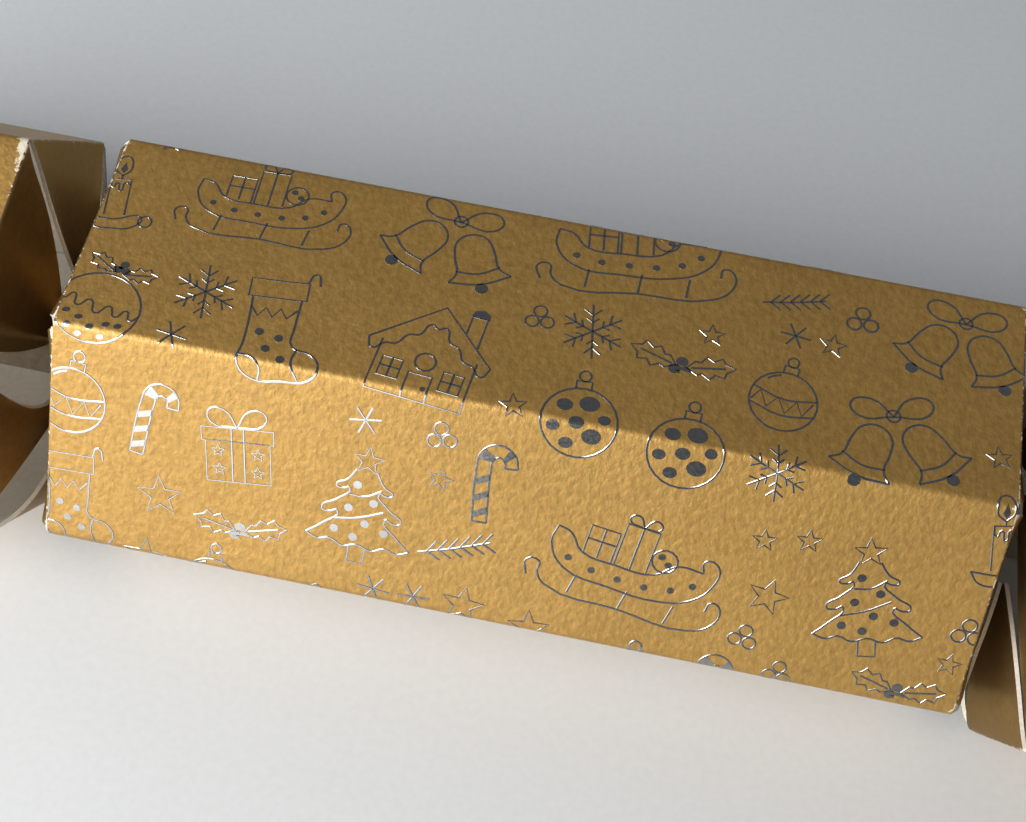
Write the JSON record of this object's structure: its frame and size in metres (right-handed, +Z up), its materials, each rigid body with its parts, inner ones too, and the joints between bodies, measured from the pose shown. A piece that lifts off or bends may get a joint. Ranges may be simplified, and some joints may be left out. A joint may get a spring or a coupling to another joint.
{
  "type": "christmas cracker",
  "caption": "Six-sided gold card christmas cracker with foil print, pinched necks of folded flaps, open cuffs, and a snap, crown, motto and spinning top inside.",
  "frame": {"origin": "on the surface that the barrel lies on, under the middle of the barrel's bottom panel", "axes": "+X along the cracker towards the right cuff, +Z up, so -Y is the side that faces the picture"},
  "size_m": [0.2711, 0.0612, 0.0549],
  "materials": {
    "gold_card": "pearl gold card, silver foil print",
    "snap_card": "plain grey card",
    "friction_coat": "rough dark coat",
    "band_paper": "plain white paper",
    "crown_tissue": "thin dyed tissue",
    "motto_paper": "plain printing paper",
    "top_wood": "painted wood",
    "peg_wood": "bare turned wood"
  },
  "bodies": {
    "barrel": {"barrel": "gold_card", "barrel_glue_flap": "gold_card", "paper_crown": "crown_tissue", "crown_band": "band_paper", "motto_slip": "motto_paper", "top_disc": "top_wood", "top_spindle": "peg_wood"},
    "left_snap": {"left_snap_strip": "snap_card", "left_friction_patch": "friction_coat"},
    "right_snap": {"right_snap_strip": "snap_card", "right_friction_patch": "friction_coat", "snap_band": "band_paper"},
    "left_cuff": {"left_cuff": "gold_card", "left_cuff_glue_flap": "gold_card"},
    "right_cuff": {"right_cuff": "gold_card", "right_cuff_glue_flap": "gold_card"},
    "left_barrel_flap_bottom": {"left_barrel_flap_bottom": "gold_card"},
    "left_cuff_flap_bottom": {"left_cuff_flap_bottom": "gold_card"},
    "left_barrel_flap_lower_back": {"left_barrel_flap_lower_back": "gold_card"},
    "left_cuff_flap_lower_back": {"left_cuff_flap_lower_back": "gold_card"},
    "left_barrel_flap_upper_back": {"left_barrel_flap_upper_back": "gold_card"},
    "left_cuff_flap_upper_back": {"left_cuff_flap_upper_back": "gold_card"},
    "left_barrel_flap_top": {"left_barrel_flap_top": "gold_card"},
    "left_cuff_flap_top": {"left_cuff_flap_top": "gold_card"},
    "left_barrel_flap_upper_front": {"left_barrel_flap_upper_front": "gold_card"},
    "left_cuff_flap_upper_front": {"left_cuff_flap_upper_front": "gold_card"},
    "left_barrel_flap_lower_front": {"left_barrel_flap_lower_front": "gold_card"},
    "left_cuff_flap_lower_front": {"left_cuff_flap_lower_front": "gold_card"},
    "right_barrel_flap_bottom": {"right_barrel_flap_bottom": "gold_card"},
    "right_cuff_flap_bottom": {"right_cuff_flap_bottom": "gold_card"},
    "right_barrel_flap_lower_back": {"right_barrel_flap_lower_back": "gold_card"},
    "right_cuff_flap_lower_back": {"right_cuff_flap_lower_back": "gold_card"},
    "right_barrel_flap_upper_back": {"right_barrel_flap_upper_back": "gold_card"},
    "right_cuff_flap_upper_back": {"right_cuff_flap_upper_back": "gold_card"},
    "right_barrel_flap_top": {"right_barrel_flap_top": "gold_card"},
    "right_cuff_flap_top": {"right_cuff_flap_top": "gold_card"},
    "right_barrel_flap_upper_front": {"right_barrel_flap_upper_front": "gold_card"},
    "right_cuff_flap_upper_front": {"right_cuff_flap_upper_front": "gold_card"},
    "right_barrel_flap_lower_front": {"right_barrel_flap_lower_front": "gold_card"},
    "right_cuff_flap_lower_front": {"right_cuff_flap_lower_front": "gold_card"}
  },
  "joints": [
    {"name": "left_pull", "type": "slide", "parent": "barrel", "child": "left_snap", "axis": [-1, 0, 0], "range_m": [0, 0.045]},
    {"name": "left_twist", "type": "hinge", "parent": "left_snap", "child": "left_cuff", "pos_m": [-0.0612, -0.00075, 0.02628], "axis": [1, 0, 0], "range_deg": [-11.5, 18]},
    {"name": "left_barrel_flap_bottom_fold", "type": "hinge", "parent": "barrel", "child": "left_barrel_flap_bottom", "pos_m": [-0.05625, 0, 0.00025], "axis": [0, -1, 0], "range_deg": [0, 71.66]},
    {"name": "left_cuff_flap_bottom_fold", "type": "hinge", "parent": "left_cuff", "child": "left_cuff_flap_bottom", "pos_m": [-0.06615, 0.00354, 0.00309], "axis": [0, 0.9792, 0.2028], "range_deg": [0, 71.66]},
    {"name": "left_barrel_flap_lower_back_fold", "type": "hinge", "parent": "barrel", "child": "left_barrel_flap_lower_back", "pos_m": [-0.05625, 0.02153, 0.01268], "axis": [0, -0.5, -0.866], "range_deg": [0, 71.66]},
    {"name": "left_cuff_flap_lower_back_fold", "type": "hinge", "parent": "left_cuff", "child": "left_cuff_flap_lower_back", "pos_m": [-0.06615, 0.02211, 0.01963], "axis": [0, 0.314, 0.9494], "range_deg": [0, 71.66]},
    {"name": "left_barrel_flap_upper_back_fold", "type": "hinge", "parent": "barrel", "child": "left_barrel_flap_upper_back", "pos_m": [-0.05625, 0.02153, 0.03755], "axis": [0, 0.5, -0.866], "range_deg": [0, 71.66]},
    {"name": "left_cuff_flap_upper_back_fold", "type": "hinge", "parent": "left_cuff", "child": "left_cuff_flap_upper_back", "pos_m": [-0.06615, 0.01707, 0.04398], "axis": [0, -0.6652, 0.7466], "range_deg": [0, 71.66]},
    {"name": "left_barrel_flap_top_fold", "type": "hinge", "parent": "barrel", "child": "left_barrel_flap_top", "pos_m": [-0.05625, 0, 0.04998], "axis": [0, 1, 0], "range_deg": [0, 71.66]},
    {"name": "left_cuff_flap_top_fold", "type": "hinge", "parent": "left_cuff", "child": "left_cuff_flap_top", "pos_m": [-0.06615, -0.00654, 0.05179], "axis": [0, -0.9792, -0.2028], "range_deg": [0, 71.66]},
    {"name": "left_barrel_flap_upper_front_fold", "type": "hinge", "parent": "barrel", "child": "left_barrel_flap_upper_front", "pos_m": [-0.05625, -0.02153, 0.03755], "axis": [0, 0.5, 0.866], "range_deg": [0, 71.66]},
    {"name": "left_cuff_flap_upper_front_fold", "type": "hinge", "parent": "left_cuff", "child": "left_cuff_flap_upper_front", "pos_m": [-0.06615, -0.02511, 0.03524], "axis": [0, -0.314, -0.9494], "range_deg": [0, 71.66]},
    {"name": "left_barrel_flap_lower_front_fold", "type": "hinge", "parent": "barrel", "child": "left_barrel_flap_lower_front", "pos_m": [-0.05625, -0.02153, 0.01268], "axis": [0, -0.5, 0.866], "range_deg": [0, 71.66]},
    {"name": "left_cuff_flap_lower_front_fold", "type": "hinge", "parent": "left_cuff", "child": "left_cuff_flap_lower_front", "pos_m": [-0.06615, -0.02006, 0.0109], "axis": [0, 0.6652, -0.7466], "range_deg": [0, 71.66]},
    {"name": "right_pull", "type": "slide", "parent": "barrel", "child": "right_snap", "axis": [1, 0, 0], "range_m": [0, 0.0485]},
    {"name": "right_twist", "type": "hinge", "parent": "right_snap", "child": "right_cuff", "pos_m": [0.0606, -0.0018, 0.02535], "axis": [1, 0, 0], "range_deg": [-20, 20]},
    {"name": "right_barrel_flap_bottom_fold", "type": "hinge", "parent": "barrel", "child": "right_barrel_flap_bottom", "pos_m": [0.05625, 0, 0.00025], "axis": [0, 1, 0], "range_deg": [0, 73.86]},
    {"name": "right_cuff_flap_bottom_fold", "type": "hinge", "parent": "right_cuff", "child": "right_cuff_flap_bottom", "pos_m": [0.06495, -0.00447, 0.00074], "axis": [0, -0.9994, 0.0349], "range_deg": [0, 73.86]},
    {"name": "right_barrel_flap_lower_back_fold", "type": "hinge", "parent": "barrel", "child": "right_barrel_flap_lower_back", "pos_m": [0.05625, 0.02153, 0.01268], "axis": [0, 0.5, 0.866], "range_deg": [0, 73.86]},
    {"name": "right_cuff_flap_lower_back_fold", "type": "hinge", "parent": "right_cuff", "child": "right_cuff_flap_lower_back", "pos_m": [0.06495, 0.01749, 0.01241], "axis": [0, -0.5299, -0.848], "range_deg": [0, 73.86]},
    {"name": "right_barrel_flap_upper_back_fold", "type": "hinge", "parent": "barrel", "child": "right_barrel_flap_upper_back", "pos_m": [0.05625, 0.02153, 0.03755], "axis": [0, -0.5, 0.866], "range_deg": [0, 73.86]},
    {"name": "right_cuff_flap_upper_back_fold", "type": "hinge", "parent": "right_cuff", "child": "right_cuff_flap_upper_back", "pos_m": [0.06495, 0.01835, 0.03726], "axis": [0, 0.4695, -0.8829], "range_deg": [0, 73.86]},
    {"name": "right_barrel_flap_top_fold", "type": "hinge", "parent": "barrel", "child": "right_barrel_flap_top", "pos_m": [0.05625, 0, 0.04998], "axis": [0, -1, 0], "range_deg": [0, 73.86]},
    {"name": "right_cuff_flap_top_fold", "type": "hinge", "parent": "right_cuff", "child": "right_cuff_flap_top", "pos_m": [0.06495, -0.00273, 0.05044], "axis": [0, 0.9994, -0.0349], "range_deg": [0, 73.86]},
    {"name": "right_barrel_flap_upper_front_fold", "type": "hinge", "parent": "barrel", "child": "right_barrel_flap_upper_front", "pos_m": [0.05625, -0.02153, 0.03755], "axis": [0, -0.5, -0.866], "range_deg": [0, 73.86]},
    {"name": "right_cuff_flap_upper_front_fold", "type": "hinge", "parent": "right_cuff", "child": "right_cuff_flap_upper_front", "pos_m": [0.06495, -0.02469, 0.03876], "axis": [0, 0.5299, 0.848], "range_deg": [0, 73.86]},
    {"name": "right_barrel_flap_lower_front_fold", "type": "hinge", "parent": "barrel", "child": "right_barrel_flap_lower_front", "pos_m": [0.05625, -0.02153, 0.01268], "axis": [0, 0.5, -0.866], "range_deg": [0, 73.86]},
    {"name": "right_cuff_flap_lower_front_fold", "type": "hinge", "parent": "right_cuff", "child": "right_cuff_flap_lower_front", "pos_m": [0.06495, -0.02555, 0.01391], "axis": [0, -0.4695, 0.8829], "range_deg": [0, 73.86]}
  ],
  "couplings": [
    {"joint": "left_barrel_flap_bottom_fold", "follows": "left_pull", "rad_per_m": 27.6},
    {"joint": "left_cuff_flap_bottom_fold", "follows": "left_pull", "rad_per_m": 27.6},
    {"joint": "left_barrel_flap_lower_back_fold", "follows": "left_pull", "rad_per_m": 27.6},
    {"joint": "left_cuff_flap_lower_back_fold", "follows": "left_pull", "rad_per_m": 27.6},
    {"joint": "left_barrel_flap_upper_back_fold", "follows": "left_pull", "rad_per_m": 27.6},
    {"joint": "left_cuff_flap_upper_back_fold", "follows": "left_pull", "rad_per_m": 27.6},
    {"joint": "left_barrel_flap_top_fold", "follows": "left_pull", "rad_per_m": 27.6},
    {"joint": "left_cuff_flap_top_fold", "follows": "left_pull", "rad_per_m": 27.6},
    {"joint": "left_barrel_flap_upper_front_fold", "follows": "left_pull", "rad_per_m": 27.6},
    {"joint": "left_cuff_flap_upper_front_fold", "follows": "left_pull", "rad_per_m": 27.6},
    {"joint": "left_barrel_flap_lower_front_fold", "follows": "left_pull", "rad_per_m": 27.6},
    {"joint": "left_cuff_flap_lower_front_fold", "follows": "left_pull", "rad_per_m": 27.6},
    {"joint": "right_barrel_flap_bottom_fold", "follows": "right_pull", "rad_per_m": 26.4},
    {"joint": "right_cuff_flap_bottom_fold", "follows": "right_pull", "rad_per_m": 26.4},
    {"joint": "right_barrel_flap_lower_back_fold", "follows": "right_pull", "rad_per_m": 26.4},
    {"joint": "right_cuff_flap_lower_back_fold", "follows": "right_pull", "rad_per_m": 26.4},
    {"joint": "right_barrel_flap_upper_back_fold", "follows": "right_pull", "rad_per_m": 26.4},
    {"joint": "right_cuff_flap_upper_back_fold", "follows": "right_pull", "rad_per_m": 26.4},
    {"joint": "right_barrel_flap_top_fold", "follows": "right_pull", "rad_per_m": 26.4},
    {"joint": "right_cuff_flap_top_fold", "follows": "right_pull", "rad_per_m": 26.4},
    {"joint": "right_barrel_flap_upper_front_fold", "follows": "right_pull", "rad_per_m": 26.4},
    {"joint": "right_cuff_flap_upper_front_fold", "follows": "right_pull", "rad_per_m": 26.4},
    {"joint": "right_barrel_flap_lower_front_fold", "follows": "right_pull", "rad_per_m": 26.4},
    {"joint": "right_cuff_flap_lower_front_fold", "follows": "right_pull", "rad_per_m": 26.4}
  ]
}
